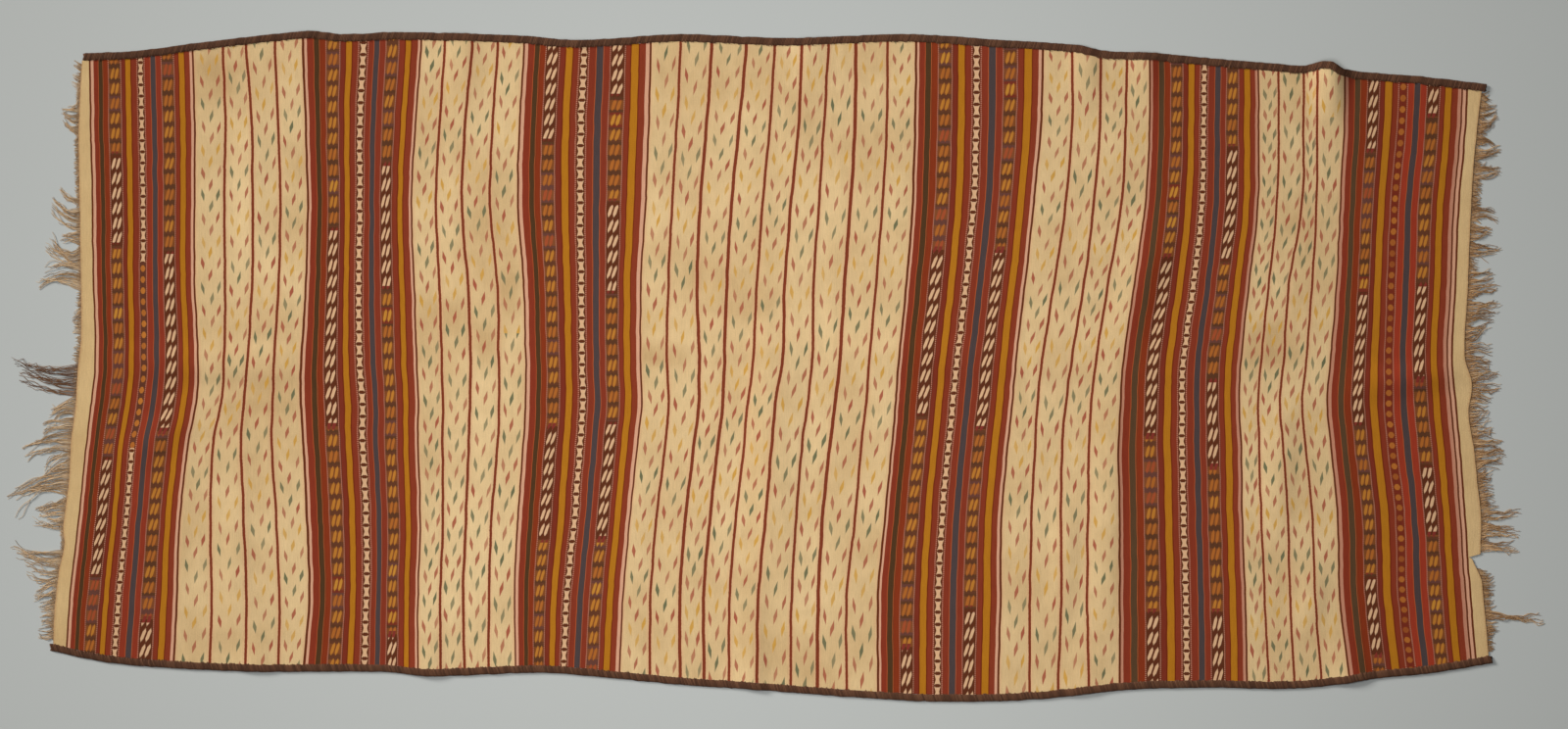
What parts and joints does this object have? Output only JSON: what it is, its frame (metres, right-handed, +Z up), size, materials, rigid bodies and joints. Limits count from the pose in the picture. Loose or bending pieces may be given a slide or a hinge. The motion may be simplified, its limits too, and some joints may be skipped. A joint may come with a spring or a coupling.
{
  "type": "soumak rug",
  "caption": "Long flat-woven rug with striped bands, small woven lozenges, overcast long sides and a loose warp fringe at both ends, lying flat with soft ripples.",
  "frame": {"origin": "middle of the rug's footprint, fringes included, on the floor it lies on", "axes": "+X along the warps from the left fringe to the right one, +Y across the rug to its far long side, +Z up"},
  "size_m": [3.6096, 1.5799, 0.0238],
  "materials": {
    "woven_wool": "matt weft-faced wool, ivory fields between bands of red, maroon, gold, slate and brown",
    "goat_hair": "matt dark brown overcast goat hair",
    "warp_ends": "matt tan and brown undyed warp yarn"
  },
  "bodies": {
    "root": {"cloth": "woven_wool", "binding_far": "goat_hair", "binding_near": "goat_hair", "fringe_left": "warp_ends", "fringe_right_far": "warp_ends", "fringe_right_near": "warp_ends"}
  },
  "joints": []
}
